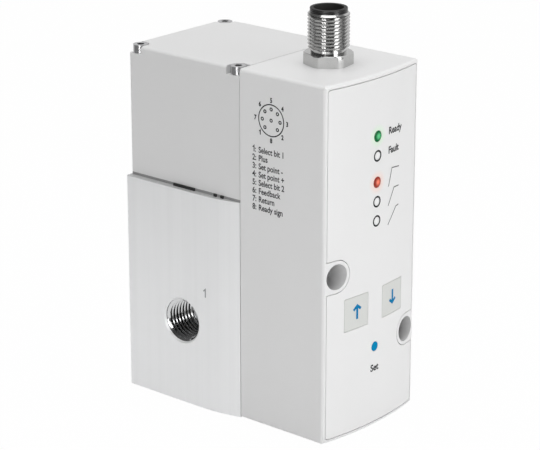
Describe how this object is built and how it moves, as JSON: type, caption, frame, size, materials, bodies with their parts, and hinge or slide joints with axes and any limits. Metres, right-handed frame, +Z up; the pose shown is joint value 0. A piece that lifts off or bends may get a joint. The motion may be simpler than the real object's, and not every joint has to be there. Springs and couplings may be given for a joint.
{
  "type": "electro-pneumatic pressure regulator",
  "caption": "Electro-pneumatic pressure regulator: ported aluminium valve block, moulded pilot cover and a bowed control housing with lamps, keys and a round threaded cable connector.",
  "frame": {"origin": "under the middle of the part's box, on the base", "axes": "+Z up towards the cable connector, -Y out of the bowed control panel, +X to the right for someone facing the panel"},
  "size_m": [0.0462, 0.0762, 0.1224],
  "materials": {
    "moulding": "fine moulded texture",
    "panel": "smooth satin film",
    "key": "satin",
    "blue_key": "satin",
    "green_lamp": "clear tinted",
    "clear_lamp": "milky",
    "red_lamp": "clear tinted",
    "anodised": "satin anodised",
    "turned_aluminium": "fine turned",
    "nickel": "nickel plated",
    "brass": "turned",
    "gold": "gold plated",
    "steel": "bright",
    "black_plastic": "satin black",
    "rubber": "matt",
    "board": "solder mask",
    "component": "matt",
    "chip": "clear",
    "winding": "taped copper winding",
    "bobbin": "moulded",
    "ribbon": "flexible flat"
  },
  "bodies": {
    "regulator": {"front_housing": "moulding", "front_panel": "panel", "key_switches": "component", "power_lamp_lens": "green_lamp", "error_lamp_lens": "clear_lamp", "fast_lamp_lens": "red_lamp", "medium_lamp_lens": "clear_lamp", "slow_lamp_lens": "clear_lamp", "lamp_chips": "chip", "control_board": "board", "board_components": "component", "board_screws": "steel", "housing_screws": "steel", "connector_shell": "nickel", "connector_insert": "black_plastic", "connector_pins": "gold", "connector_seal": "rubber", "connector_nut": "nickel", "connector_lead": "black_plastic", "valve_block": "anodised", "exhaust_plug": "turned_aluminium", "plug_o_ring": "rubber", "stem_o_ring": "rubber", "poppet_spring": "steel", "diaphragm": "rubber", "pilot_plate": "turned_aluminium", "pilot_plate_screws": "steel", "fill_pilot_base": "bobbin", "fill_pilot_coil": "winding", "fill_pilot_frame": "steel", "fill_pilot_core": "steel", "fill_armature_spring": "steel", "vent_pilot_base": "bobbin", "vent_pilot_coil": "winding", "vent_pilot_frame": "steel", "vent_pilot_core": "steel", "vent_armature_spring": "steel", "pressure_sensors": "steel", "sensor_board": "board", "pilot_ribbon": "ribbon", "pilot_cover": "moulding", "cover_gasket": "rubber", "cover_screws": "steel", "window_seal": "rubber", "mounting_sleeves": "steel"},
    "up_key": {"up_button": "key", "up_switch_plunger": "black_plastic"},
    "down_key": {"down_button": "key", "down_switch_plunger": "black_plastic"},
    "edit_key": {"edit_button": "blue_key", "edit_switch_plunger": "black_plastic"},
    "poppet_group": {"poppet": "brass", "poppet_seal": "rubber"},
    "tappet_group": {"tappet": "steel", "relief_seal": "rubber", "lower_diaphragm_plate": "turned_aluminium", "upper_diaphragm_plate": "turned_aluminium", "tappet_nut": "steel"},
    "fill_armature_group": {"fill_armature": "steel"},
    "vent_armature_group": {"vent_armature": "steel"}
  },
  "joints": [
    {"name": "up_key_press", "type": "slide", "parent": "regulator", "child": "up_key", "axis": [0, 1, 0], "range_m": [0, 0.0005], "stiffness_N_per_m": 3000, "springref_m": -0.0002},
    {"name": "down_key_press", "type": "slide", "parent": "regulator", "child": "down_key", "axis": [0, 1, 0], "range_m": [0, 0.0005], "stiffness_N_per_m": 3000, "springref_m": -0.0002},
    {"name": "edit_key_press", "type": "slide", "parent": "regulator", "child": "edit_key", "axis": [0, 1, 0], "range_m": [0, 0.0005], "stiffness_N_per_m": 3000, "springref_m": -0.0002},
    {"name": "poppet_open", "type": "slide", "parent": "regulator", "child": "poppet_group", "axis": [0, 0, 1], "range_m": [-0.0015, 0], "stiffness_N_per_m": 2000, "springref_m": 0.002, "deforming": ["poppet_spring", "diaphragm"]},
    {"name": "tappet_lift", "type": "slide", "parent": "poppet_group", "child": "tappet_group", "axis": [0, 0, 1], "range_m": [0, 0.0012], "deforming": ["diaphragm"]},
    {"name": "fill_armature_lift", "type": "slide", "parent": "regulator", "child": "fill_armature_group", "axis": [0, 0, 1], "range_m": [0, 0.0004], "stiffness_N_per_m": 400, "springref_m": -0.001, "deforming": ["fill_armature_spring"]},
    {"name": "vent_armature_lift", "type": "slide", "parent": "regulator", "child": "vent_armature_group", "axis": [0, 0, 1], "range_m": [0, 0.0004], "stiffness_N_per_m": 400, "springref_m": -0.001, "deforming": ["vent_armature_spring"]}
  ]
}
